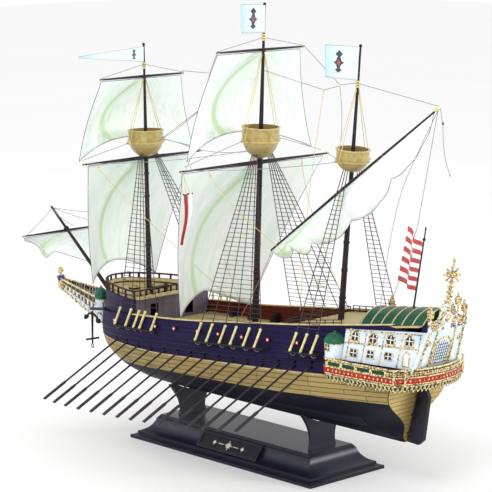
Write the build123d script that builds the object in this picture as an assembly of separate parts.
from build123d import *
import os
from functools import cache
from math import cos, exp, pi, radians, sin, sqrt

# Three-masted sailing ship model on its display stand.  Millimetres, +Z up, bow towards -X,
# port side towards -Y.  The origin lies under the middle of the stand, on its underside.

# ---------------------------------------------------------------- driving dimensions
STAND_LENGTH = 251.0
STAND_WIDTH = 100.0
STAND_HEIGHT = 24.0
STEP_INSET, STEP_HEIGHT = 5.3, 7.0
COVE_INSET, COVE_HEIGHT = 18.9, 20.9
TOP_INSET = 22.0
BOARD_HEIGHT = 3.0
CRADLE_X = 90.0
CRADLE_TIP_Z = (57.0, 61.0)     # forward and aft cradle
CRADLE_FOOT_Y, CRADLE_WAIST_Y, CRADLE_TIP_Y = 17.5, 16.0, 30.5
CRADLE_THICKNESS = 3.2
CRADLE_GAP = 0.25

WALL = 1.6                      # thickness of the moulded hull shell
KEEL_Z = 49.0
ENTRANCE_X = -95.0              # the bow rounds in ahead of this station
RUN_X = 30.0                    # the hull narrows aft of this station
TRANSOM_X = 210.0
AFT_LIMIT_X = 255.0

# waterlines: height, half breadth amidships, half breadth at the transom, stem, bow fullness
WATERLINES = [
    (49.0, 2.2, 2.2, -150.0, 0.90),
    (53.0, 14.0, 2.2, -168.0, 0.90),
    (60.0, 29.0, 2.6, -184.0, 0.80),
    (70.0, 43.0, 7.0, -196.0, 0.65),
    (82.0, 53.0, 23.0, -203.0, 0.55),
    (94.0, 57.0, 36.0, -206.0, 0.50),
    (106.0, 57.5, 38.7, -207.0, 0.50),
    (120.0, 55.5, 37.0, -207.0, 0.50),
    (136.0, 52.5, 34.0, -207.0, 0.50),
    (155.0, 49.0, 30.0, -207.0, 0.50),
    (176.0, 46.0, 27.0, -207.0, 0.50),
]
PLAN_STATIONS = (AFT_LIMIT_X, 230.0, 205.0, 175.0, 135.0, 90.0, 45.0, 0.0, -48.0)
BOW_ANGLES = (0.0, 24.0, 44.0, 60.0, 73.0, 83.0)

# the sheer: the line of the hull's top edge
SHEER = [(-215.0, 116.0), (-187.0, 118.5), (-150.0, 123.0), (-110.0, 127.0), (-50.0, 131.5),
         (0.0, 137.0), (62.0, 144.5), (110.0, 150.0), (152.0, 155.5), (203.0, 162.0),
         (225.0, 165.5), (243.6, 168.3)]

TRANSOM_FOOT_X = 197.0
TRANSOM_RAKE = 0.2586           # run aft for each unit of height
COUNTER_Z = 112.5               # underside of the castle that overhangs the transom
CASTLE_FOOT_X = 226.0
CASTLE_TOP = (243.6, 168.3)
CASTLE_WALL_FOOT = (222.0, 114.0)      # inner face of the castle's after wall
CASTLE_WALL_HEAD = (238.0, 174.0)
PANEL_THICKNESS = 1.7
PANEL_FOOT_Z = 114.1
PANEL_TOP_Z = 161.0
CREST_X = 242.4

DECK_Z = 119.5                  # top of the main deck at X = 0
DECK_SLOPE = 0.045
DECK_THICKNESS = 1.5
FORECASTLE_AFT_X = -118.0
FORECASTLE_DECK_Z = 139.0
FORECASTLE_TOP_Z = 140.5
FORECASTLE_RAIL_Z = 149.0
FORECASTLE_INSET = 2.0
QUARTERDECK_FRONT_X = 85.0
CAP_OVERHANG = 0.55             # how far the cap rail stands proud of the hull

# masts: foot position, rake (run aft per unit of height), foot, top and truck heights, radii
MASTS = {
    "fore": dict(x=-152.6, z=147.0, rake=-0.0216, foot=111.6, top=275.0, truck=387.0,
                 r_foot=2.9, r_top=2.0, r_truck=0.9),
    "main": dict(x=2.0, z=136.4, rake=0.0403, foot=118.4, top=289.0, truck=434.0,
                 r_foot=3.3, r_top=2.5, r_truck=0.9),
    "mizzen": dict(x=115.1, z=150.7, rake=0.0848, foot=123.6, top=288.0, truck=402.0,
                   r_foot=3.2, r_top=2.0, r_truck=0.9),
}
# tops: bowl height, drum height, drum radius
TOPS = {"fore": (14.5, 12.5, 17.8), "main": (17.0, 13.0, 18.1), "mizzen": (10.0, 11.0, 15.4)}
LUG_REACH = 5.6                 # side lugs of the tops, which hold the topmast shrouds

COURSE_YARDS = {"fore": (273.4, 78.6), "main": (284.4, 98.0)}        # height, half length
TOPSAIL_YARDS = {"fore": (354.9, 55.2), "main": (391.2, 56.9)}
YARD_RADIUS, YARD_TIP_RADIUS = 1.9, 0.8
LATEEN_LOW = (28.0, 203.5)
LATEEN_PEAK = (234.0, 354.5)
BOWSPRIT_HEEL = (-196.0, 114.4)
BOWSPRIT_TIP = (-308.5, 206.9)
BOWSPRIT_RADIUS = 2.4
SPRIT_SHARE = 0.78              # where the sprit yard crosses, as a share of the bowsprit
SPRIT_HALF = 56.5

# channels: first and last X, height at the first and last X, half breadth of the outer edge
CHANNELS = {"fore": (-140.0, -77.0, 114.6, 116.6, 60.0),
            "main": (-24.0, 77.0, 117.6, 125.6, 64.5),
            "mizzen": (100.0, 139.0, 126.6, 129.2, 59.0)}
CHANNEL_THICKNESS = 1.4
LANYARD_FEET = {"fore": (-138.0, -121.8, -109.8, -100.9, -84.0),
                "main": (-15.5, 0.0, 17.8, 32.7, 50.2, 64.8),
                "mizzen": (105.6, 119.0, 132.0)}
LANYARD_RAKE_X = 5.5
LANYARD_HEIGHT = 17.5
LANYARD_RADIUS = 1.1
SHROUD_RADIUS = 0.4
RATLINE_RADIUS = 0.25
RATLINE_SPACING = 4.2

LINE_RADIUS = 0.3
TOPMAST_SHROUD_HEADS = {"fore": 352.0, "main": 387.0, "mizzen": 363.0}
# routes of the braces and stays, each a list of the points where it is made fast or turned
LINE_ROUTES = [
    [(-161.0, 54.0, 357.0), (-61.3, 0.0, 364.7), (8.8, -55.0, 393.0)],
    [(-61.3, 0.0, 364.0), (-74.3, 0.0, 329.0), (-137.2, 0.0, 292.0)],
    [(10.0, 56.0, 392.5), (111.3, 0.0, 365.3), (132.6, 0.0, 368.5)],
    [(13.6, 0.0, 372.0), (91.2, 0.0, 359.3), (111.3, 0.0, 364.5)],
    [(135.2, 0.0, 368.0), (232.4, -3.4, 355.4)],
    [(232.0, -4.2, 351.6), (203.0, 4.5, 246.0), (169.0, 8.0, 170.0)],
]
# the loose line at the lateen peak and the radius of each bend
PENDANT_ROUTE = [(235.2, -4.6, 353.6), (238.4, -4.7, 341.0), (239.2, -4.9, 325.0), (242.0, -5.2, 309.0),
                 (248.4, -5.6, 296.6)]
PENDANT_RADII = [22.0, 38.0, 20.0]

OAR_COUNT = 15
OAR_FIRST_X, OAR_LAST_X = -142.0, 127.0
OAR_DIRECTION = Vector(-0.12, -0.86, -0.495).normalized()
OAR_OUTBOARD = 98.0
OAR_INBOARD = 7.0
OAR_RADIUS = 0.95
OAR_PORT_WIDTH, OAR_PORT_HEIGHT = 3.2, 5.6
BLADE = (27.0, 3.8, 1.2)        # length, width and thickness of an oar's blade

GUN_STATIONS = (-144.0, -77.6, -50.5, -18.0, 10.6, 42.0, 75.0, 110.0)
GUN_Z, GUN_SLOPE = 127.0, 0.0685
GUN_RADIUS = 1.5
GUN_PORT_RADIUS = 1.52
GUN_LENGTH = 15.0

RUDDER_AXIS_OFFSET = 2.7
RUDDER_THICKNESS = 4.0
PINTLE_RADIUS = 0.8
PINTLE_HEIGHTS = (58.0, 76.0, 94.0)

# outer plan line of the galleries, port half, from forward to aft
GALLERY_EDGE = [(141.0, -50.0), (147.0, -54.0), (184.0, -51.0), (222.6, -46.4)]
GALLERY_AFT_X = 238.0
GALLERY_FLOOR_Z, GALLERY_TOP_Z = 112.5, 126.3
GALLERY_WALL = 1.6
SKIRT_FOOT_Z = 106.5
ROOF_X = (161.0, 238.5)
ROOF_HALF = 25.0
ROOF_RISE = (13.5, 11.5)        # rise of the roof's arch at its forward and after ends
ROOF_RIBS = 7
# turrets: axis X and Y, radius, foot and top of the wall; then dome radius and height
QUARTER_TURRET = (150.0, -44.5, 9.2, 114.02, 141.0)
QUARTER_DOME = (10.4, 8.6)
BOW_TURRET = (-211.5, -14.0, 6.0, 110.0, 124.0)
BOW_DOME = (6.8, 12.0)
CREST_FOOT_Z = 161.1

CATHEAD = ((-180.0, -36.0, 120.4), (-209.0, -30.0, 115.6))
ANCHOR_CROWN = Vector(-205.6, -31.0, 111.4)
ANCHOR_ARM = 12.0               # half the spread of the arms
ANCHOR_SHANK = 32.0


# ---------------------------------------------------------------- general shapes
def rod(start, end, radius, end_radius=None):
    """A round bar between two points, tapered when a second radius is given."""
    start, end = Vector(*start), Vector(*end)
    run = end - start
    place = Plane(origin=start, z_dir=run)
    base = (Align.CENTER, Align.CENTER, Align.MIN)
    if end_radius is None or abs(end_radius - radius) < 1e-6:
        return place * Cylinder(radius, run.length, align=base)
    return place * Cone(radius, end_radius, run.length, align=base)


def block(x0, x1, y0, y1, z0, z1):
    return Pos((x0 + x1) / 2, (y0 + y1) / 2, (z0 + z1) / 2) * Box(x1 - x0, y1 - y0, z1 - z0)


def prism_xz(points, y0, y1):
    outline = make_face(Polyline(*[(x, y0, z) for x, z in points], close=True))
    return extrude(outline, amount=y1 - y0, dir=(0, 1, 0))


def prism_yz(points, x0, x1):
    outline = make_face(Polyline(*[(x0, y, z) for y, z in points], close=True))
    return extrude(outline, amount=x1 - x0, dir=(1, 0, 0))


def prism_xy(points, z0, z1):
    outline = make_face(Polyline(*[(x, y, z0) for x, y in points], close=True))
    return extrude(outline, amount=z1 - z0, dir=(0, 0, 1))


def joined(shapes):
    """One solid made of pieces that run into each other."""
    return shapes[0].fuse(*shapes[1:]) if len(shapes) > 1 else shapes[0]


def largest(shape):
    """The main solid of a cut shape, without the crumbs."""
    return max(shape.solids(), key=lambda solid: solid.volume)


def group(shapes):
    """Separate solids that share one node."""
    solids = []
    for shape in shapes:
        solids.extend(shape.solids())
    return Compound(children=solids)


def mirrored(shape):
    """The same piece on the starboard side."""
    return mirror(shape, about=Plane.XZ)


def both_sides(shapes):
    return shapes + [mirrored(shape) for shape in shapes]


# ---------------------------------------------------------------- hull form
def between(rows, key, column):
    """Straight-line reading of a table column at a key."""
    for low, high in zip(rows, rows[1:]):
        if key <= high[0]:
            part = (key - low[0]) / (high[0] - low[0])
            return low[column] + (high[column] - low[column]) * max(part, 0.0)
    return rows[-1][column]


def sheer_z(x):
    return between(SHEER, x, 1)


def deck_z(x):
    return DECK_Z + DECK_SLOPE * x


def transom_x(z):
    return TRANSOM_FOOT_X + TRANSOM_RAKE * (z - KEEL_Z)


def run_breadth(x, mid, aft):
    """Half breadth abaft the parallel middle body."""
    share = max(0.0, (x - RUN_X) / (TRANSOM_X - RUN_X)) ** 2
    limit = 1.25 if aft > 20.0 else 1.0
    return mid - (mid - aft) * min(share, limit)


def half_breadth(x, z):
    mid = between(WATERLINES, z, 1)
    aft = between(WATERLINES, z, 2)
    if x >= ENTRANCE_X:
        return run_breadth(x, mid, aft)
    reach = (ENTRANCE_X - x) / (ENTRANCE_X - between(WATERLINES, z, 3))
    fullness = between(WATERLINES, z, 4)
    return mid * max(0.0, 1.0 - min(reach, 1.0) ** 2) ** fullness


def waterline_points(row, offset):
    """Port side of one waterline, from aft to the nose of the bow."""
    z, mid, aft, stem, fullness = row
    mid = max(mid + offset, 0.4)
    aft = max(aft + offset, 0.4)
    points = [(x, -run_breadth(x, mid, aft)) for x in PLAN_STATIONS]
    reach = ENTRANCE_X - stem + offset
    for angle in BOW_ANGLES:
        turn = radians(angle)
        points.append((ENTRANCE_X - reach * sin(turn), -mid * cos(turn) ** (2 * fullness)))
    return points, ENTRANCE_X - reach


def waterline_face(row, offset=0.0, z=None):
    points, nose = waterline_points(row, offset)
    z = row[0] if z is None else z
    port = [(x, y, z) for x, y in points]
    starboard = [(x, -y, z) for x, y in reversed(points)]
    curve = Spline(*port, (nose, 0, z), *starboard)
    return make_face([curve, Line(curve @ 1, curve @ 0)])


def hull_body(offset=0.0, lowest=KEEL_Z):
    """The whole hull form as one solid, swelled or shrunk sideways by an offset."""
    return loft([waterline_face(row, offset) for row in WATERLINES if row[0] >= lowest])


def sheer_zone(rise, lower_points, half_width=90.0):
    """Everything under the sheer line raised by a distance, down to a lower outline."""
    edge = Spline(*[(x, -half_width, z + rise) for x, z in SHEER])
    rest = Polyline(edge @ 1, *[(x, -half_width, z) for x, z in lower_points], edge @ 0)
    return extrude(make_face([edge, rest]), amount=2 * half_width, dir=(0, 1, 0))


def sheer_band(low, high, x0, x1, half_width=90.0):
    """A band that follows the sheer between two heights above it."""
    whole = sheer_zone(high, [(SHEER[-1][0], 60.0), (SHEER[0][0], 60.0)], half_width)
    under = sheer_zone(low, [(SHEER[-1][0], 59.0), (SHEER[0][0], 59.0)], half_width)
    return (whole - under) & block(x0, x1, -half_width, half_width, 60.0, 200.0)


OUTER = hull_body() & sheer_zone(0.0, [
    (CASTLE_FOOT_X, COUNTER_Z), (transom_x(COUNTER_Z), COUNTER_Z),
    (TRANSOM_FOOT_X, KEEL_Z + 0.05), (-215.0, KEEL_Z + 0.05)])
CAVITY = hull_body(-WALL, 60.0) & prism_xz([
    (-206, 100), (-206, 174), CASTLE_WALL_HEAD, CASTLE_WALL_FOOT, (206, 114), (190, 80), (150, 62),
    (-150, 62), (-190, 80)], -90, 90)
DECK_SPACE = hull_body(-WALL - 0.05, 60.0)


# ---------------------------------------------------------------- stand
def moulded_profile(half):
    """Half breadths of the step, cove and upper board, and the middle of the cove's hollow."""
    step = half - STEP_INSET
    cove = half - COVE_INSET
    top = half - TOP_INSET
    middle = (step - (step - cove) * 0.66, STEP_HEIGHT + (COVE_HEIGHT - STEP_HEIGHT) * 0.36)
    return step, cove, top, middle


def moulded_bar(half, length, along_x):
    """The moulded section run along one direction."""
    step, cove, top, middle = moulded_profile(half)

    def at(side, height):
        return (-length / 2, side, height) if along_x else (side, -length / 2, height)

    lines = [
        Polyline(at(-half, 0), at(half, 0), at(half, BOARD_HEIGHT), at(step + 1.2, BOARD_HEIGHT + 1.0),
                 at(step, BOARD_HEIGHT + 1.6), at(step, STEP_HEIGHT)),
        ThreePointArc(at(step, STEP_HEIGHT), at(*middle), at(cove, COVE_HEIGHT)),
        Polyline(at(cove, COVE_HEIGHT), at(cove - 1.0, COVE_HEIGHT), at(cove - 1.0, COVE_HEIGHT + 0.8),
                 at(top, STAND_HEIGHT), at(-top, STAND_HEIGHT), at(1.0 - cove, COVE_HEIGHT + 0.8),
                 at(1.0 - cove, COVE_HEIGHT), at(-cove, COVE_HEIGHT)),
        ThreePointArc(at(-cove, COVE_HEIGHT), at(-middle[0], middle[1]), at(-step, STEP_HEIGHT)),
        Polyline(at(-step, STEP_HEIGHT), at(-step, BOARD_HEIGHT + 1.6),
                 at(-step - 1.2, BOARD_HEIGHT + 1.0), at(-half, BOARD_HEIGHT), at(-half, 0)),
    ]
    direction = (1, 0, 0) if along_x else (0, 1, 0)
    return extrude(make_face(lines), amount=length, dir=direction)


def stand_base():
    long_way = moulded_bar(STAND_WIDTH / 2, STAND_LENGTH, along_x=True)
    short_way = moulded_bar(STAND_LENGTH / 2, STAND_WIDTH, along_x=False)
    return long_way & short_way


def cradle(x, tip_z):
    """A waisted plate that flares up to the hull, cut to the hull's section."""
    side = [(CRADLE_FOOT_Y, STAND_HEIGHT), (CRADLE_WAIST_Y, STAND_HEIGHT + 8), (19.0, tip_z - 16),
            (CRADLE_TIP_Y, tip_z)]
    flank = Spline(*[(x, y, z) for y, z in side])
    other = Spline(*[(x, -y, z) for y, z in reversed(side)])
    outline = [flank, Line(flank @ 1, other @ 0), other, Line(other @ 1, flank @ 0)]
    plate = extrude(make_face(outline), amount=CRADLE_THICKNESS, dir=(1, 0, 0))
    return plate - hull_seat(x)


def hull_seat(x):
    """The room for the hull in a cradle, with a small gap below it."""
    keel = KEEL_Z - CRADLE_GAP
    port = [(y, cradle_seat_z(x, y)) for y in (-40, -32, -24, -16, -8, -3)]
    starboard = [(-y, z) for y, z in reversed(port)]
    outline = port + [(-3, keel), (3, keel)] + starboard + [(40, 120), (-40, 120)]
    return prism_yz(outline, x - 1, x + CRADLE_THICKNESS + 1)


def cradle_seat_z(x, y):
    """Height of the hull's underside above a point, less the gap, by stepping up the side."""
    z = KEEL_Z
    while half_breadth(x, z) < abs(y) and z < 120.0:
        z += 0.1
    return z - CRADLE_GAP - 0.5


def stand_cradles():
    forward, aft = CRADLE_TIP_Z
    return group([cradle(-CRADLE_X, forward), cradle(CRADLE_X, aft)])


def nameplate():
    """A blank bevelled plate that leans on the cove of the long side."""
    lean = Plane(origin=(5.0, -(STAND_WIDTH / 2 - 8.2), STEP_HEIGHT + 1.1), x_dir=(1, 0, 0),
                 z_dir=Vector(0, -0.78, 0.62))
    plate = lean * Pos(0, 7.6, 0.8) * Box(82.0, 17.0, 1.6)
    border = lean * Pos(0, 7.6, 1.8) * (Box(78.0, 13.6, 0.6) - Box(75.6, 11.2, 0.6))
    return (plate + border) - stand_base()


# ---------------------------------------------------------------- hull shells and decks
def oar_port(index):
    x = OAR_FIRST_X + (OAR_LAST_X - OAR_FIRST_X) * index / (OAR_COUNT - 1)
    share = (x - OAR_FIRST_X) / (OAR_LAST_X - OAR_FIRST_X)
    z = 97.6 + 19.0 * share - 4.0 * sin(pi * share)
    return Vector(x, -half_breadth(x, z), z)


def oar_hole(index):
    """An upright rectangular port, cut along the oar so that it can rise and dip."""
    along = Plane(origin=oar_port(index), x_dir=(1, 0, 0), z_dir=OAR_DIRECTION)
    return along * Box(OAR_PORT_WIDTH, OAR_PORT_HEIGHT, 10.0)


def gun_z(x):
    return GUN_Z + GUN_SLOPE * x


def gun_hole(x):
    side = half_breadth(x, gun_z(x))
    return rod((x, -side + 6.0, gun_z(x)), (x, -side - 4.0, gun_z(x)), GUN_PORT_RADIUS)


@cache
def hull_shell():
    return OUTER - CAVITY


def hull_port():
    half = hull_shell() & block(-260, 260, -90, 0, 40, 200)
    holes = [oar_hole(index) for index in range(OAR_COUNT)]
    holes += [gun_hole(x) for x in GUN_STATIONS]
    holes.append(bowsprit(0.06))
    return half.cut(*holes)


def main_deck():
    top = [(x, deck_z(x)) for x in (-204.0, 214.0)]
    slab = prism_xz([top[0], top[1], (214.0, deck_z(214.0) - DECK_THICKNESS),
                     (-204.0, deck_z(-204.0) - DECK_THICKNESS)], -70, 70)
    return (slab & DECK_SPACE) - mast_holes()


@cache
def mast_holes():
    return joined([mast_body(name, 0.05) for name in MASTS])


def forecastle_plan(offset, z0, z1, x_aft=FORECASTLE_AFT_X):
    row = WATERLINES[8]
    solid = extrude(waterline_face(row, -FORECASTLE_INSET - offset, z0), amount=z1 - z0,
                    dir=(0, 0, 1))
    return solid & block(-230, x_aft, -80, 80, z0 - 1, z1 + 1)


@cache
def forecastle_wall():
    low = deck_z(-200.0) - 2.0
    wall = forecastle_plan(0.0, low, FORECASTLE_TOP_Z) - forecastle_plan(1.4, low, FORECASTLE_TOP_Z, 0.0)
    above_deck = prism_xz([(-230, deck_z(-230)), (-100, deck_z(-100)), (-100, 150), (-230, 150)],
                          -80, 80)
    return (wall & above_deck) - bowsprit(0.06)


def forecastle_bulkhead():
    x0, x1 = FORECASTLE_AFT_X - 1.6, FORECASTLE_AFT_X
    plate = forecastle_plan(1.45, deck_z(x0) + 0.02, FORECASTLE_TOP_Z, x1) & block(
        x0, x1, -80, 80, deck_z(x1) + 0.02, FORECASTLE_TOP_Z)
    doorway = block(x0 - 1, x1 + 1, -28.5, -17.5, deck_z(x1) + 3.0, deck_z(x1) + 19.5)
    return plate - doorway - mirrored(doorway)


def forecastle_deck():
    low = FORECASTLE_DECK_Z - DECK_THICKNESS
    slab = forecastle_plan(1.45, low, FORECASTLE_DECK_Z, FORECASTLE_AFT_X - 1.65)
    return slab - mast_holes()


def rail_path():
    """Post positions round the forecastle: port side, bow, starboard side."""
    row = WATERLINES[8]
    inset = FORECASTLE_INSET + 0.7
    points = []
    count = 19
    reach = ENTRANCE_X - row[3] - inset
    mid = row[1] - inset
    first = radians(13.0)
    for step in range(count):
        turn = first + (pi - 2 * first) * step / (count - 1)
        points.append((ENTRANCE_X - reach * sin(turn), -mid * cos(turn)))
    return points


def forecastle_rail():
    base, top = FORECASTLE_TOP_Z, FORECASTLE_RAIL_Z
    points = rail_path()
    shapes = []
    for x, y in points:
        shapes.append(block(x - 0.75, x + 0.75, y - 0.75, y + 0.75, base, top))
    ring = points + [points[0]]
    for (x0, y0), (x1, y1) in zip(ring, ring[1:]):
        for z in (top - 0.6, base + 3.0):
            radius = 0.9 if z > base + 4.0 else 0.45
            shapes.append(rod((x0, y0, z), (x1, y1, z), radius))
    aft_x, aft_y = points[0]
    for step in range(1, 12):
        y = aft_y + (-2.0 * aft_y) * step / 12
        shapes.append(block(aft_x - 0.75, aft_x + 0.75, y - 0.75, y + 0.75, base - 1.0, top))
    rail = joined(shapes)
    return rail & block(-230, -100, -80, 80, base, top + 2)


def below_quarterdeck():
    """Everything under the quarterdeck's upper face."""
    return sheer_zone(-1.28, [(SHEER[-1][0], 100.0), (SHEER[0][0], 100.0)])


def quarter_deck():
    slab = sheer_band(-2.8, -1.3, QUARTERDECK_FRONT_X, 240.5)
    foot_x, head_x = CASTLE_WALL_FOOT[0] - 0.05, CASTLE_WALL_HEAD[0] - 0.05
    before_wall = prism_xz([(80, 100), (foot_x, 100), (foot_x, CASTLE_WALL_FOOT[1]),
                            (head_x, CASTLE_WALL_HEAD[1]), (80, 180)], -80, 80)
    return (slab & DECK_SPACE & before_wall) - mast_holes()


def quarter_bulkhead():
    x0 = QUARTERDECK_FRONT_X
    plate = block(x0, x0 + 1.6, -80, 80, deck_z(x0) + 0.1, sheer_z(x0) - 3.0) & DECK_SPACE
    door = block(x0 - 0.1, x0 + 0.7, -5.0, 5.0, deck_z(x0) + 1.0, deck_z(x0) + 17.0)
    frames = []
    for y in (-30.0, -18.0, 18.0, 30.0):
        frames.append(block(x0 - 0.1, x0 + 0.7, y - 3.0, y + 3.0, deck_z(x0) + 8, deck_z(x0) + 15))
    return plate.cut(door, *frames)


def quarter_rails():
    """Light railings that stand just inside the cap rail beside the quarterdeck."""
    height = 6.5
    front_x = QUARTERDECK_FRONT_X + 3.0
    stations = [QUARTERDECK_FRONT_X + 3.0 + 9.0 * step for step in range(8)]
    shapes = []
    feet = []
    for x in stations:
        z = sheer_z(x)
        y = -half_breadth(x, z) + WALL + 1.6
        feet.append(Vector(x, y, z - 1.8))
    for foot in feet:
        shapes.append(rod(foot, foot + Vector(0, 0, height), 0.5))
    for first, second in zip(feet, feet[1:]):
        for lift in (height - 0.3, height * 0.55):
            shapes.append(rod(first + Vector(0, 0, lift), second + Vector(0, 0, lift), 0.42))
    port = largest(joined(shapes) - below_quarterdeck())
    front = []
    z = sheer_z(front_x) - 1.8
    ends = feet[0].Y
    for step in range(9):
        y = ends + 4.0 - 2.0 * (ends + 4.0) * step / 8
        front.append(rod((front_x, y, z), (front_x, y, z + height), 0.5))
    for lift in (height - 0.3, height * 0.55):
        front.append(rod((front_x, ends + 3.2, z + lift), (front_x, -ends - 3.2, z + lift), 0.42))
    return group([port, mirrored(port), largest(joined(front) - below_quarterdeck())])


@cache
def cap_rails():
    """Strips that cap the top edge of the hull from the forecastle to the castle."""
    band = sheer_band(0.02, 1.0, FORECASTLE_AFT_X + 0.5, 206.0)
    strip = (hull_body(CAP_OVERHANG, 106.0) & band) - hull_body(-WALL - 0.5, 100.0)
    return group([strip])


# ---------------------------------------------------------------- stern
def gallery_solid(inset, z0, z1):
    """Gallery plan, drawn in by an inset, as a solid between two heights."""
    port = [(x, y + inset) for x, y in GALLERY_EDGE]
    port[0] = (port[0][0] + inset, port[0][1])
    star = [(x, -y) for x, y in reversed(port)]
    corner = port[-1]
    lines = [
        Polyline(*[(x, y, z0) for x, y in port]),
        ThreePointArc((corner[0], corner[1], z0), (GALLERY_AFT_X - inset, 0, z0),
                      (corner[0], -corner[1], z0)),
        Polyline(*[(x, y, z0) for x, y in star]),
        Line((star[-1][0], star[-1][1], z0), (port[0][0], port[0][1], z0)),
    ]
    return extrude(make_face(lines), amount=z1 - z0, dir=(0, 0, 1))


def gallery_shell():
    """Floor and outer parapet of the galleries all round the stern."""
    outside = gallery_solid(0.0, GALLERY_FLOOR_Z, GALLERY_TOP_Z)
    return outside - gallery_solid(GALLERY_WALL, GALLERY_FLOOR_Z + 1.5, GALLERY_TOP_Z + 1)


@cache
def quarter_galleries():
    keep = block(120, GALLERY_EDGE[-1][0], -80, 0, 100, 200)
    port = (gallery_shell() & keep) - OUTER
    return group([port, mirrored(port)])


def stern_balcony():
    keep = block(GALLERY_EDGE[-1][0] + 0.05, 260, -80, 80, 100, 200)
    return (gallery_shell() & keep) - OUTER - stern_panel_space()


def gallery_skirt():
    """Scalloped moulding under the galleries, drawn in to the hull."""
    lower = [(143.0, -46.0), (149.0, -48.0), (184.0, -44.5), (220.0, -39.5)]
    upper = [(x, y + 1.0) for x, y in GALLERY_EDGE]
    head_z = GALLERY_FLOOR_Z - 0.05
    top = Polyline(*[(x, y, head_z) for x, y in upper], (222.0, -20.0, head_z), (143.0, -20.0, head_z),
                   close=True)
    bottom = Polyline(*[(x, y, SKIRT_FOOT_Z) for x, y in lower], (220.0, -20.0, SKIRT_FOOT_Z),
                      (143.0, -20.0, SKIRT_FOOT_Z), close=True)
    port = loft([make_face(bottom), make_face(top)], ruled=True)
    port = port & prism_xz([(100, 90), (transom_x(90) - 0.5, 90), (transom_x(113) - 0.5, 113),
                            (100, 113)], -80, 0)
    port = largest(port - OUTER)
    return group([port, mirrored(port)])


def castle_face_x(z):
    """Where the raked after face of the castle stands at a height."""
    rake = (CASTLE_TOP[0] - CASTLE_FOOT_X) / (CASTLE_TOP[1] - COUNTER_Z)
    return CASTLE_FOOT_X + rake * (z - COUNTER_Z)


def stern_panel_space():
    """The slanting slab in which the stern panel stands, just clear of the hull."""
    foot, head = castle_face_x(PANEL_FOOT_Z), castle_face_x(CASTLE_TOP[1])
    return prism_xz([(foot + 0.05, PANEL_FOOT_Z), (foot + PANEL_THICKNESS, PANEL_FOOT_Z),
                     (head + PANEL_THICKNESS, CASTLE_TOP[1]), (head + 0.05, CASTLE_TOP[1])], -80, 80)


def stern_panel():
    body = hull_body(1.5, 94.0)
    return body & stern_panel_space() & block(200, 260, -60, 60, PANEL_FOOT_Z, PANEL_TOP_Z)


@cache
def castle_walls():
    """White-painted upper walls of the castle, mounted on the hull's quarters."""
    outline = [(160.0, 126.4), (230.0, 126.4), (241.0, 160.0), (160.0, 153.6)]
    region = prism_xz(outline, -80, 0)
    body = (hull_body(1.5, 106.0) & region) - OUTER - stern_panel_space()
    body = body - prism_xz([(CASTLE_FOOT_X, COUNTER_Z), CASTLE_TOP, (260, 168), (260, COUNTER_Z)], -80, 80)
    port = largest(body)
    return group([port, mirrored(port)])


def roof_profile(x, z, half, rise):
    return [ThreePointArc((x, -half, z), (x, 0, z + rise), (x, half, z)),
            Line((x, half, z), (x, -half, z))]


def castle_roof():
    """Barrel roof with raised ribs, over a low coaming."""
    x0, x1 = ROOF_X
    rise0, rise1 = ROOF_RISE
    z0, z1 = sheer_z(x0) - 1.25, sheer_z(x1) - 1.0
    vault = loft([make_face(roof_profile(x0, z0, ROOF_HALF, rise0)),
                  make_face(roof_profile(x1, z1, ROOF_HALF, rise1))])
    slope = (z1 - z0) / (x1 - x0)
    ribs = []
    for step in range(ROOF_RIBS):
        share = step / (ROOF_RIBS - 1)
        x = x0 + 1.0 + (x1 - x0 - 3.0) * share
        rise = rise0 + (rise1 - rise0) * share + 0.6
        profile = roof_profile(x, z0 + slope * (x - x0), ROOF_HALF + 0.5, rise)
        ribs.append(extrude(make_face(profile), amount=1.2, dir=(1, 0, 0)))
    roof = joined([vault] + ribs)
    return largest(roof - ensign_staff() - below_quarterdeck() - hull_shell())


@cache
def stern_crest():
    """Carved crest board that stands upright above the stern panel."""
    face = Plane(origin=(CREST_X, 0, CREST_FOOT_Z), x_dir=(0, 1, 0), z_dir=(1, 0, 0))
    outline = [
        Line((-25.0, 0), (25.0, 0)),
        Line((25.0, 0), (25.0, 9.5)),
        ThreePointArc((25.0, 9.5), (16.0, 7.0), (10.0, 13.0)),
        ThreePointArc((10.0, 13.0), (0, 23.0), (-10.0, 13.0)),
        ThreePointArc((-10.0, 13.0), (-16.0, 7.0), (-25.0, 9.5)),
        Line((-25.0, 9.5), (-25.0, 0)),
    ]
    board = extrude(face * make_face(outline), amount=1.8)
    return largest(board - OUTER)


def stern_finial():
    """Tall gilded finial rising from the crest: stem, ring and cross arms."""
    foot, head = Vector(CREST_X + 0.9, 0, 182.5), Vector(CREST_X + 7.6, 0, 222.0)
    stem = rod(foot, head, 1.3, 0.8)
    centre = foot + (head - foot) * 0.68
    shapes = [stem, Pos(*centre) * Sphere(3.2)]
    shapes.append(rod(centre - Vector(0, 8.5, 0), centre + Vector(0, 8.5, 0), 0.9))
    shapes.append(rod(centre - Vector(6.0, 0, -1.3), centre + Vector(6.0, 0, -1.3), 0.9))
    shapes.append(Pos(*head) * Sphere(1.6))
    return largest(joined(shapes) - stern_crest())


def lantern(foot, height):
    """Post, lantern body, cap and ball as one casting."""
    foot = Vector(*foot)
    up = Vector(0, 0, 1)
    body = foot + up * height
    return joined([
        rod(foot, body, 0.8),
        rod(body, body + up * 5.5, 2.0, 2.8),
        rod(body + up * 5.5, body + up * 8.0, 2.8, 1.0),
        Pos(*(body + up * 8.8)) * Sphere(1.3),
    ])


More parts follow.
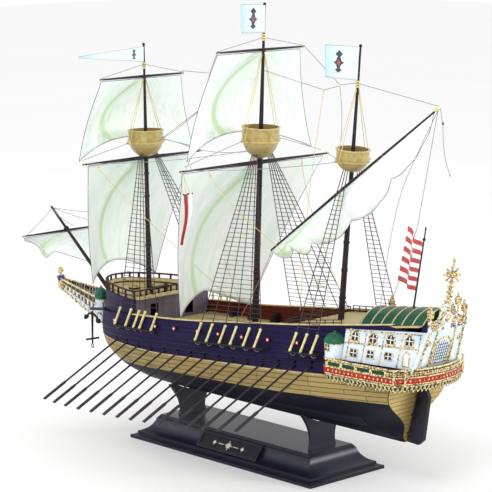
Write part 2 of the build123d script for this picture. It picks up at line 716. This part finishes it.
def stern_lanterns():
    """Three lanterns on the crest and one on the starboard cap rail."""
    port = lantern((CREST_X + 0.9, -22.5, 168.0), 5.0) - stern_crest()
    bracket = rod((CREST_X + 1.85, 0, 176.8), (255.0, 0, 176.8), 0.8)
    middle = joined([lantern((255.0, 0, 176.0), 8.0), bracket])
    side = lantern((140.0, 41.5, sheer_z(140.0) + 1.3), 4.0)
    return group([largest(port), largest(mirrored(port)), middle, side])


@cache
def ensign_staff():
    foot, head = Vector(203.2, 0, 171.0), Vector(216.5, 0, 246.0)
    knob = foot + (head - foot) * 0.87
    return joined([rod(foot, head, 0.9, 0.6), Pos(*knob) * Sphere(1.5)])


def turret_wall(x, y, radius, z0, z1):
    return Pos(x, y, z0) * Cylinder(radius, z1 - z0, align=(Align.CENTER, Align.CENTER, Align.MIN))


def turrets():
    """Round corner turrets on the quarter galleries and beside the beakhead."""
    quarter = turret_wall(*QUARTER_TURRET) - OUTER - quarter_galleries() - castle_walls()
    bow = turret_wall(*BOW_TURRET) - OUTER - forecastle_wall() - beakhead()
    pieces = [largest(part) for part in (quarter, bow)]
    return group(both_sides(pieces))


def dome(turret, radius, height):
    """A dome with an overhanging eave and a small knob, on top of a turret."""
    x, y, _, _, top = turret
    profile = [Line((0, 0), (radius, 0)), Line((radius, 0), (radius, 0.8)),
               ThreePointArc((radius, 0.8), (radius * 0.74, height * 0.68), (0, height)),
               Line((0, height), (0, 0))]
    shell = revolve(Plane.XZ * make_face(profile), Axis.Z)
    return Pos(x, y, top + 0.02) * (shell + Pos(0, 0, height) * Sphere(radius * 0.16))


def turret_domes():
    quarter = dome(QUARTER_TURRET, *QUARTER_DOME) - OUTER - castle_walls() - cap_rails()
    bow = dome(BOW_TURRET, *BOW_DOME) - OUTER - forecastle_wall() - beakhead()
    pieces = [largest(part) for part in (quarter, bow)]
    return group(both_sides(pieces))


# ---------------------------------------------------------------- rudder
def rudder_axis(z):
    return Vector(transom_x(z) + RUDDER_AXIS_OFFSET, 0, z)


def rudder():
    """Raked blade with a rounded leading edge and pintles in its notches."""
    half = RUDDER_THICKNESS / 2
    low, high = 50.5, 106.0
    blade = prism_xz([(rudder_axis(low).X, low), (213.0, low - 0.8), (218.5, 54.7), (224.5, 95.0),
                      (221.5, 101.0), (219.0, 102.0), (218.0, high), (rudder_axis(high).X, high)],
                     -half, half)
    edge = rod(rudder_axis(low), rudder_axis(high), half)
    notches = []
    pins = []
    for z in PINTLE_HEIGHTS:
        notches.append(block(190.0, rudder_axis(z).X + 2.9, -5, 5, z - 2.2, z + 2.2))
        pins.append(rod(rudder_axis(z - 2.8), rudder_axis(z + 2.8), PINTLE_RADIUS))
    return joined([(blade + edge).cut(*notches)] + pins)


def gudgeons():
    """Eyes on the sternpost that carry the pintles."""
    shapes = []
    for z in PINTLE_HEIGHTS:
        eye = block(transom_x(z) - 2.0, rudder_axis(z).X + 1.9, -1.5, 1.5, z - 1.4, z + 1.4)
        hole = rod(rudder_axis(z - 4.0), rudder_axis(z + 4.0), PINTLE_RADIUS + 0.06)
        shapes.append(eye - hole - OUTER)
    return group(shapes)


# ---------------------------------------------------------------- bow
def beak_rail_point(share, level):
    """A point on the port side of the beakhead; share runs to the tip, level runs upwards."""
    x = -203.0 - 88.0 * share
    y = -17.0 + 14.6 * share
    low = 97.0 + 24.5 * share
    high = 122.0 + 9.5 * share
    return (x, y, low + (high - low) * level)


@cache
def beakhead():
    """Long open beak: railed sides, a floor and a solid nose under the figurehead."""
    shapes = []
    for level, radius in ((0.0, 1.2), (0.33, 0.8), (0.66, 0.8), (1.0, 1.1)):
        start, end = beak_rail_point(0.0, level), beak_rail_point(1.0, level)
        shapes.append(rod(start, end, radius))
        shapes.append(rod((start[0], -start[1], start[2]), (end[0], -end[1], end[2]), radius))
    for step in range(10):
        share = 0.05 + 0.1 * step
        foot, head = beak_rail_point(share, 0.0), beak_rail_point(share, 1.0)
        shapes.append(rod(foot, head, 0.6))
        shapes.append(rod((foot[0], -foot[1], foot[2]), (head[0], -head[1], head[2]), 0.6))
    floor_top = [beak_rail_point(0.0, 0.36), beak_rail_point(1.0, 0.36)]
    floor = prism_xy([(-203.0, -17.0), (-203.0, 17.0), (-291.0, 2.4), (-291.0, -2.4)], 90.0, 140.0)
    floor = floor & prism_xz([(floor_top[0][0], floor_top[0][2]), (floor_top[1][0], floor_top[1][2]),
                              (floor_top[1][0], floor_top[1][2] - 1.2),
                              (floor_top[0][0], floor_top[0][2] - 1.2)], -30, 30)
    nose = prism_xz([(-288.0, 119.5), (-294.5, 121.5), (-295.0, 129.0), (-288.0, 131.0)], -3.2, 3.2)
    knee = prism_xz([(-203.0, 90.0), (-203.0, 98.2), (-290.0, 121.6), (-293.0, 120.6)], -1.2, 1.2)
    return joined(shapes + [floor, nose, knee]) - OUTER - forecastle_wall()


def figurehead():
    """Small bust on the nose of the beak."""
    chest = Pos(-293.6, 0, 132.6) * Sphere(3.7)
    shoulders = rod((-293.6, -3.0, 133.8), (-293.6, 3.0, 133.8), 1.7)
    neck = rod((-294.0, 0, 134.5), (-294.8, 0, 137.5), 1.2)
    head = Pos(-295.2, 0, 139.4) * Sphere(2.6)
    crown = rod((-295.0, 0, 141.0), (-294.8, 0, 143.2), 2.0, 2.4)
    return joined([chest, shoulders, neck, head, crown]) - beakhead()


def bowsprit(grow=0.0):
    heel, tip = (BOWSPRIT_HEEL[0], 0, BOWSPRIT_HEEL[1]), (BOWSPRIT_TIP[0], 0, BOWSPRIT_TIP[1])
    return rod(heel, tip, BOWSPRIT_RADIUS + grow, 1.2 + grow)


def cathead():
    return rod(*CATHEAD, 1.5) - OUTER - forecastle_wall()


def anchor():
    """Anchor hung by its crown: arms above, shank down, stock and ring at the lower end."""
    crown, up = ANCHOR_CROWN, Vector(0, 0, 1)
    forward = Vector(-1, 0.15, 0).normalized()
    across = Vector(0.15, 1, 0).normalized()
    drop = up * 6.5
    bend = ThreePointArc(crown + forward * ANCHOR_ARM - drop, crown, crown - forward * ANCHOR_ARM - drop)
    arms = sweep(Plane(origin=bend @ 0, z_dir=bend % 0) * Circle(1.1), path=bend)
    shank = rod(crown, crown - up * ANCHOR_SHANK, 1.3, 0.8)
    stock_at = crown - up * (ANCHOR_SHANK - 5.5)
    stock = rod(stock_at - across * 7.5, stock_at + across * 7.5, 1.0)
    ring = Plane(origin=crown - up * (ANCHOR_SHANK + 2.0), z_dir=across) * Torus(2.0, 0.45)
    flukes = []
    for side in (1, -1):
        tip = crown + forward * (ANCHOR_ARM - 0.5) * side - up * 6.0
        outward = Plane(origin=tip, x_dir=across, z_dir=forward * side + up * 0.7)
        flukes.append(outward * Cone(3.0, 0.4, 4.0, align=(Align.CENTER, Align.CENTER, Align.MIN)))
    eye = Pos(*(crown + up * 1.2)) * Sphere(1.3)
    return joined([arms, shank, stock, ring, eye] + flukes)


# ---------------------------------------------------------------- masts, tops and yards
def mast_x(name, z):
    mast = MASTS[name]
    return mast["x"] + mast["rake"] * (z - mast["z"])


def mast_point(name, z, dx=0.0, y=0.0):
    return Vector(mast_x(name, z) + dx, y, z)


def mast_radius(name, z):
    mast = MASTS[name]
    if z < mast["top"]:
        share = (z - mast["foot"]) / (mast["top"] - mast["foot"])
        return mast["r_foot"] + (mast["r_top"] - mast["r_foot"]) * share
    share = (z - mast["top"]) / (mast["truck"] - mast["top"])
    return mast["r_top"] + (mast["r_truck"] - mast["r_top"]) * share


def mast_body(name, grow=0.0):
    mast = MASTS[name]
    lower = rod(mast_point(name, mast["foot"]), mast_point(name, mast["top"]),
                mast["r_foot"] + grow, mast["r_top"] + grow)
    upper = rod(mast_point(name, mast["top"]), mast_point(name, mast["truck"]),
                mast["r_top"] + grow, mast["r_truck"] + grow)
    return joined([lower, upper])


def mast(name):
    truck = mast_point(name, MASTS[name]["truck"])
    button = Pos(truck.X, 0, truck.Z) * Sphere(1.5)
    return joined([mast_body(name), button])


@cache
def top_basket(name):
    """Round fighting top: a planked bowl, a drum and an open, rimmed mouth."""
    bowl, drum, radius = TOPS[name]
    foot = MASTS[name]["top"]
    inner = mast_radius(name, foot) - 0.6
    wall = 1.3
    height = bowl + drum
    outline = [
        Line((inner, 0), (inner + 1.2, 0)),
        ThreePointArc((inner + 1.2, 0), (radius * 0.80, bowl * 0.52), (radius - 1.2, bowl - 1.0)),
        Polyline((radius - 1.2, bowl - 1.0), (radius + 0.5, bowl - 0.6), (radius + 0.5, bowl + 0.8),
                 (radius - 0.4, bowl + 1.2), (radius - 0.4, height - 1.6), (radius + 0.6, height - 1.2),
                 (radius + 0.6, height), (radius - wall, height), (radius - wall, bowl + 1.4),
                 (inner, bowl + 1.4), (inner, 0)),
    ]
    basket = revolve(Plane.XZ * make_face(outline), Axis.Z)
    lean = -MASTS[name]["rake"] * 180.0 / pi
    lugs = [block(-3.4, 3.4, -radius - LUG_REACH, -radius + 0.2, bowl - 0.6, bowl + 0.7)]
    lugs.append(mirrored(lugs[0]))
    whole = joined([basket] + lugs)
    placed = Pos(*mast_point(name, foot)) * Rot(0, -lean, 0) * whole
    return placed - mast_body(name, 0.03)


def yard(name, z, half, lower=True):
    """Square yard slung ahead of its mast, with a parrel collar round the mast."""
    radius = YARD_RADIUS if lower else YARD_RADIUS * 0.75
    hold = mast_radius(name, z)
    x = mast_x(name, z) - hold - radius - 0.3
    arms = [rod((x, 0, z), (x, side * half, z), radius, YARD_TIP_RADIUS) for side in (1, -1)]
    collar = Pos(mast_x(name, z), 0, z - 1.2) * Cylinder(
        hold + 0.9, 2.4, align=(Align.CENTER, Align.CENTER, Align.MIN))
    return joined(arms + [collar]) - mast_body(name, 0.03)


def course_yards():
    return group([yard(name, *COURSE_YARDS[name]) for name in COURSE_YARDS])


def topsail_yards():
    return group([yard(name, *TOPSAIL_YARDS[name], lower=False) for name in TOPSAIL_YARDS])


def lateen_y():
    return -(mast_radius("mizzen", 275.0) + YARD_RADIUS + 0.6)


def lateen_yard():
    y = lateen_y()
    low, peak = Vector(LATEEN_LOW[0], y, LATEEN_LOW[1]), Vector(LATEEN_PEAK[0], y, LATEEN_PEAK[1])
    middle = low + (peak - low) * 0.45
    z = 275.0
    collar = Pos(mast_x("mizzen", z), 0, z - 1.4) * Cylinder(
        mast_radius("mizzen", z) + 1.2, 2.8, align=(Align.CENTER, Align.CENTER, Align.MIN))
    shapes = [rod(middle, low, YARD_RADIUS, 0.9), rod(middle, peak, YARD_RADIUS, 0.8), collar]
    return joined(shapes) - mast_body("mizzen", 0.03)


def sprit_yard():
    """Yard slung under the bowsprit on a collar."""
    heel, tip = Vector(BOWSPRIT_HEEL[0], 0, BOWSPRIT_HEEL[1]), Vector(BOWSPRIT_TIP[0], 0, BOWSPRIT_TIP[1])
    along = (tip - heel).normalized()
    below = Vector(-along.Z, 0, along.X)
    crossing = heel + (tip - heel) * SPRIT_SHARE
    centre = crossing + below * 3.2
    arms = [rod(centre, centre + Vector(0, side * SPRIT_HALF, 0), 1.4, 0.7) for side in (1, -1)]
    collar = rod(crossing - along * 1.3, crossing + along * 1.3, 2.6)
    return joined(arms + [collar]) - bowsprit(0.03)


# ---------------------------------------------------------------- sails and flags
def square_sail_point(sail, across, down):
    """A point on a square sail; across runs from -1 to 1, down from head to foot."""
    head, clew = sail["head"], sail["clew"]
    half = head[1] + (clew[1] - head[1]) * down
    foot_z = clew[2] + sail["arch"] * (1 - across * across) - sail["slant"] * across
    foot_z -= sail["bag"] * exp(-((across - BAG_PLACE) / BAG_WIDTH) ** 2)
    z = head[2] - (head[2] - foot_z) * down
    belly = sail["belly"] * sin(pi * 0.74 * down) * (1 - 0.75 * across * across)
    x = head[0] + (clew[0] - head[0]) * down - belly
    return Vector(x, across * half, z)


# head and clew: X, half breadth and height; then the arch of the foot, its slant down to
# starboard, the bag that hangs in it and the belly of the cloth
SQUARE_SAILS = {
    "fore_course": dict(head=(-163.0, 69.0, 271.0), clew=(-186.0, 42.0, 145.5),
                        arch=18.0, slant=0.0, bag=0.0, belly=24.0),
    "main_course": dict(head=(1.0, 93.0, 282.0), clew=(-48.0, 47.0, 131.0),
                        arch=22.0, slant=0.0, bag=0.0, belly=30.0),
    "fore_topsail": dict(head=(-161.0, 52.5, 352.8), clew=(-163.5, 76.0, 275.5),
                         arch=17.0, slant=0.0, bag=0.0, belly=26.0),
    "main_topsail": dict(head=(7.0, 54.0, 389.0), clew=(1.0, 82.0, 291.5),
                         arch=20.0, slant=0.0, bag=0.0, belly=30.0),
    "spritsail": dict(head=(-284.5, 54.0, 182.6), clew=(-286.0, 52.0, 159.1),
                      arch=0.0, slant=20.0, bag=11.0, belly=9.0),
}
BAG_PLACE, BAG_WIDTH = -0.42, 0.15
SAIL_THICKNESS = 0.7


def square_sail(name):
    sail = SQUARE_SAILS[name]
    rows = []
    for j in range(6):
        rows.append([square_sail_point(sail, -1 + 2 * i / 8, j / 5) for i in range(9)])
    sheet = Face.make_surface_from_array_of_points(rows)
    return thicken(sheet, amount=SAIL_THICKNESS)


def course_sails():
    return group([square_sail("fore_course"), square_sail("main_course")])


def topsails():
    return group([square_sail("fore_topsail"), square_sail("main_topsail")])


def lateen_sail():
    """Three-cornered sail brailed up close under its yard, with a scalloped foot."""
    y = lateen_y() - 3.0
    low, peak = LATEEN_LOW, LATEEN_PEAK
    ux, uz = peak[0] - low[0], peak[1] - low[1]
    length = sqrt(ux * ux + uz * uz)
    ux, uz = ux / length, uz / length
    nx, nz = uz, -ux
    gap = 2.4

    def at(along, out):
        return (low[0] + ux * along + nx * out, y, low[1] + uz * along + nz * out)

    cusps = [(4.0, gap), (31.0, 15.0), (56.0, 22.0), (112.0, 30.0), (176.0, 24.0), (250.0, gap)]
    edges = [Line(at(4.0, gap), at(250.0, gap))]
    for (a0, o0), (a1, o1) in zip(reversed(cusps), list(reversed(cusps))[1:]):
        edges.append(ThreePointArc(at(a0, o0), at((a0 + a1) / 2, (o0 + o1) / 2 + 7.0), at(a1, o1)))
    return extrude(make_face(edges), amount=SAIL_THICKNESS, dir=(0, 1, 0))


def mast_flags():
    """Pennant at the fore truck, flags at the main and mizzen trucks, and two streamers."""
    fore = prism_xz([(-155.2, 385.2), (-155.2, 369.8), (-259.5, 367.2), (-259.5, 368.0)], -2.0, -1.5)
    main = prism_xz([(-14.4, 432.4), (16.5, 433.4), (16.0, 407.6), (-14.4, 405.6)], -2.2, -1.7)
    mizzen = prism_xz([(95.6, 401.0), (136.4, 401.0), (134.6, 371.0), (94.6, 371.5)], -2.2, -1.7)
    fore, main, mizzen = [flag.cut(mast(name)) for flag, name in
                          ((fore, "fore"), (main, "main"), (mizzen, "mizzen"))]
    return group([fore, main, mizzen] + streamers())


def ensign():
    flag = prism_xz([(214.1, 232.6), (206.3, 188.2), (187.8, 194.3), (184.3, 206.6), (195.7, 247.0)],
                    -0.25, 0.25)
    return flag - ensign_staff()


def streamers():
    """Two narrow streamers that hang on lines from the port arm of the main course yard."""
    x = mast_x("main", 284.4) - 3.0
    shapes = []
    for y, width, low in ((-92.5, 4.4, 216.0), (-86.5, 3.0, 226.0)):
        cloth = block(x - 0.2, x + 0.2, y - width / 2, y + width / 2, low, 263.0)
        line = rod((x, y, 262.0), (x, -94.0, 282.2), LINE_RADIUS)
        shapes.append(joined([cloth, line]))
    return [shapes[0], shapes[1] - shapes[0]]


# ---------------------------------------------------------------- channels, shrouds, guns and oars
def channel_z(name, x):
    x0, x1, z0, z1, _ = CHANNELS[name]
    return z0 + (z1 - z0) * (x - x0) / (x1 - x0)


def channels():
    """Boards that hold the shrouds out from the ship's side."""
    shapes = []
    for x0, x1, z0, z1, edge in CHANNELS.values():
        board = prism_xz([(x0, z0), (x1, z1), (x1, z1 - CHANNEL_THICKNESS), (x0, z0 - CHANNEL_THICKNESS)],
                         -edge, -30.0) - OUTER - CAVITY
        shapes.append(max(board.solids(), key=lambda solid: -solid.center().Y))
    return group(both_sides(shapes))


def lanyard_ends(name, x):
    edge = CHANNELS[name][4]
    foot = Vector(x, -edge + 1.6, channel_z(name, x) + 0.15)
    head = foot + Vector(LANYARD_RAKE_X, 3.4, LANYARD_HEIGHT)
    return foot, head


def lanyards():
    """Deadeyes and lanyards, moulded as one bar for each shroud."""
    shapes = []
    for name, feet in LANYARD_FEET.items():
        for x in feet:
            foot, head = lanyard_ends(name, x)
            board_top = prism_xz([(x - 9, channel_z(name, x - 9)), (x + 9, channel_z(name, x + 9)),
                                  (x + 9, channel_z(name, x) - 9), (x - 9, channel_z(name, x) - 9)],
                                 -80, -30)
            bar = rod(foot - Vector(0.3, 0.2, 1.0), head, LANYARD_RADIUS)
            shapes.append(bar - board_top)
    return group(both_sides(shapes))


# where the shrouds of each mast gather under its top: X, height, half breadth
SHROUD_HEADS = {"fore": (-153.6, 283.0, 7.8), "main": (10.6, 297.0, 8.8), "mizzen": (127.4, 293.0, 7.6)}


def shroud_lines(name):
    """Start and end of each shroud of one mast, port side."""
    head_x, head_z, head_y = SHROUD_HEADS[name]
    feet = LANYARD_FEET[name]
    lines = []
    for index, x in enumerate(feet):
        low = lanyard_ends(name, x)[1]
        share = index / (len(feet) - 1) - 0.5
        high = Vector(head_x + 5.0 * share, -head_y, head_z)
        lines.append((low + (high - low).normalized() * 0.4, high))
    return lines


def shroud_net(name):
    """Shrouds of one mast with their ratlines, which lie just outside them."""
    lines = shroud_lines(name)
    top = top_basket(name)
    shapes = [largest(rod(low, high, SHROUD_RADIUS) - top) for low, high in lines]
    first, last = lines[0], lines[-1]
    outward = (last[0] - first[0]).cross(first[1] - first[0]).normalized()
    if outward.Y > 0:
        outward = outward * -1
    step = outward * (SHROUD_RADIUS + RATLINE_RADIUS + 0.02)
    rise = first[1].Z - first[0].Z
    count = int(rise / RATLINE_SPACING) - 4
    for row in range(1, count):
        share = row * RATLINE_SPACING / rise
        a = first[0] + (first[1] - first[0]) * share + step
        b = last[0] + (last[1] - last[0]) * share + step
        out = (b - a).normalized() * 0.5
        shapes.append(rod(a - out, b + out, RATLINE_RADIUS))
    return shapes


def shrouds_port():
    shapes = []
    for name in MASTS:
        shapes += shroud_net(name)
    return group(shapes)


def topmast_shrouds():
    """Two light lines each side of every topmast, from the lugs of its top to its head."""
    lines = []
    for name, (bowl, _, radius) in TOPS.items():
        lug_z = MASTS[name]["top"] + bowl + 1.0
        head_z = TOPMAST_SHROUD_HEADS[name]
        for step in (-2.2, 2.2):
            low = mast_point(name, lug_z, step, -radius - LUG_REACH + 0.8)
            high = mast_point(name, head_z, step * 0.2, -mast_radius(name, head_z) - 0.4)
            lines.append(rod(low, high, LINE_RADIUS))
    return group(both_sides(lines))


def rigging_lines():
    """Lifts, braces, mizzen lines and the vang, each one run between two fastenings."""
    shapes = []
    for name, head_z in (("fore", 367.0), ("main", 402.5)):
        z, half = TOPSAIL_YARDS[name]
        arm_x = mast_x(name, z) - mast_radius(name, z) - YARD_RADIUS * 0.75 - 0.3
        for side in (1, -1):
            high = mast_point(name, head_z, 0, side * (mast_radius(name, head_z) + 0.4))
            low = Vector(arm_x, side * (half - 2.0), z + YARD_TIP_RADIUS + 0.5)
            shapes.append(rod(high, low, LINE_RADIUS))
    for route in LINE_ROUTES:
        for start, end in zip(route, route[1:]):
            start, end = Vector(*start), Vector(*end)
            step = (end - start).normalized() * 0.35
            shapes.append(rod(start + step, end - step, LINE_RADIUS))
    return group(shapes)


def peak_pendant():
    """Loose line that hangs from the peak of the lateen yard."""
    route = FilletPolyline(*PENDANT_ROUTE, radius=PENDANT_RADII)
    return sweep(Plane(origin=route @ 0, z_dir=route % 0) * Circle(LINE_RADIUS), path=route)


def gun(x):
    """Barrel through its port, on a low carriage where there is deck under it."""
    z = gun_z(x)
    side = half_breadth(x, z)
    in_waist = FORECASTLE_AFT_X + 20 < x < QUARTERDECK_FRONT_X
    length = GUN_LENGTH if in_waist else 4.6
    barrel = rod((x, -side + length - 4.0, z), (x, -side - 3.2, z), GUN_RADIUS, GUN_RADIUS * 0.85)
    muzzle = rod((x, -side - 3.4, z), (x, -side - 2.2, z), GUN_RADIUS * 1.15)
    shapes = [barrel, muzzle]
    if in_waist:
        low = deck_z(x) + 0.25
        shapes.append(block(x - 2.6, x + 2.6, -side + 3.6, -side + 12.5, low, z - 0.6))
    return joined(shapes)


def guns():
    return group(both_sides([gun(x) for x in GUN_STATIONS]))


def oar(index):
    centre = oar_port(index)
    tip = centre + OAR_DIRECTION * OAR_OUTBOARD
    heel = centre - OAR_DIRECTION * OAR_INBOARD
    neck = tip - OAR_DIRECTION * BLADE[0]
    shaft = rod(heel, tip - OAR_DIRECTION * 4.0, OAR_RADIUS)
    flat = Plane(origin=neck, x_dir=Vector(1, -0.14, 0).normalized(), z_dir=OAR_DIRECTION)
    blade = flat * Box(BLADE[1], BLADE[2], BLADE[0], align=(Align.CENTER, Align.CENTER, Align.MIN))
    collar = rod(neck - OAR_DIRECTION * 1.5, neck + OAR_DIRECTION * 1.5, OAR_RADIUS * 1.3)
    return joined([shaft, blade, collar])


def port_oars():
    return group([oar(index) for index in range(OAR_COUNT)])


# ---------------------------------------------------------------- deck fittings
def deck_fittings():
    """Hatch, capstan, bitts, ladders and catheads, each a separate piece."""
    hatch = prism_xz([(-66, deck_z(-66) + 0.02), (-38, deck_z(-38) + 0.02), (-38, deck_z(-38) + 2.6),
                      (-66, deck_z(-66) + 2.6)], -10, 10)
    capstan_z = deck_z(48.0) + 0.4
    capstan = joined([rod((48, 0, capstan_z), (48, 0, capstan_z + 7), 3.2, 2.2),
                      rod((48, 0, capstan_z + 7), (48, 0, capstan_z + 9.5), 4.0)])
    deck = FORECASTLE_DECK_Z
    beam = joined([block(-139.5, -136.5, -13, 13, deck + 3.2, deck + 6.2),
                   block(-139.5, -136.5, -11, -8.4, deck + 0.02, deck + 7.4),
                   block(-139.5, -136.5, 8.4, 11, deck + 0.02, deck + 7.4)])
    coil = Pos(-168.0, -6.0, deck + 0.02) * (
        Cylinder(6.0, 1.8, align=(Align.CENTER, Align.CENTER, Align.MIN))
        - Cylinder(2.0, 1.8, align=(Align.CENTER, Align.CENTER, Align.MIN)))
    foot, head = Vector(71.0, -23.0, deck_z(71) + 1.2), Vector(83.6, -23.0, sheer_z(85) - 2.5)
    side = Vector(0, 3.6, 0)
    ladder = [rod(foot - side, head - side, 0.6), rod(foot + side, head + side, 0.6)]
    for step in range(6):
        place = foot + (head - foot) * ((step + 0.5) / 6)
        ladder.append(block(place.X - 1.2, place.X + 1.2, -26.6, -19.4, place.Z - 0.4, place.Z + 0.4))
    shapes = both_sides([joined(ladder), largest(cathead())]) + [hatch, capstan, beam, coil]
    return group(shapes)


# ---------------------------------------------------------------- build and write
def main():
    port_shell = hull_port()
    shrouds = shrouds_port()
    oars = port_oars()
    hung = anchor()
    parts = {
        "stand_base": stand_base(),
        "stand_cradles": stand_cradles(),
        "nameplate": nameplate(),
        "hull_port": port_shell,
        "hull_starboard": mirrored(port_shell),
        "main_deck": main_deck(),
        "forecastle_wall": forecastle_wall(),
        "forecastle_bulkhead": forecastle_bulkhead(),
        "forecastle_deck": forecastle_deck(),
        "forecastle_rail": forecastle_rail(),
        "quarter_deck": quarter_deck(),
        "quarter_bulkhead": quarter_bulkhead(),
        "quarter_rails": quarter_rails(),
        "cap_rails": cap_rails(),
        "channels": channels(),
        "lanyards": lanyards(),
        "castle_walls": castle_walls(),
        "stern_panel": stern_panel(),
        "quarter_galleries": quarter_galleries(),
        "stern_balcony": stern_balcony(),
        "gallery_skirt": gallery_skirt(),
        "castle_roof": castle_roof(),
        "stern_crest": stern_crest(),
        "stern_finial": stern_finial(),
        "stern_lanterns": stern_lanterns(),
        "ensign_staff": ensign_staff(),
        "turrets": turrets(),
        "turret_domes": turret_domes(),
        "beakhead": beakhead(),
        "figurehead": figurehead(),
        "bowsprit": bowsprit(),
        "deck_fittings": deck_fittings(),
        "anchor_port": hung,
        "anchor_starboard": mirrored(hung),
        "rudder": rudder(),
        "gudgeons": gudgeons(),
        "fore_mast": mast("fore"),
        "main_mast": mast("main"),
        "mizzen_mast": mast("mizzen"),
        "fore_top": top_basket("fore"),
        "main_top": top_basket("main"),
        "mizzen_top": top_basket("mizzen"),
        "course_yards": course_yards(),
        "topsail_yards": topsail_yards(),
        "lateen_yard": lateen_yard(),
        "sprit_yard": sprit_yard(),
        "course_sails": course_sails(),
        "topsails": topsails(),
        "lateen_sail": lateen_sail(),
        "spritsail": square_sail("spritsail"),
        "mast_flags": mast_flags(),
        "ensign": ensign(),
        "guns": guns(),
        "topmast_shrouds": topmast_shrouds(),
        "rigging_lines": rigging_lines(),
        "peak_pendant": peak_pendant(),
        "shrouds_port": shrouds,
        "shrouds_starboard": mirrored(shrouds),
        "port_oars": oars,
        "starboard_oars": mirrored(oars),
    }
    os.makedirs("parts", exist_ok=True)
    for name, shape in parts.items():
        export_step(shape, f"parts/{name}.step")


main()
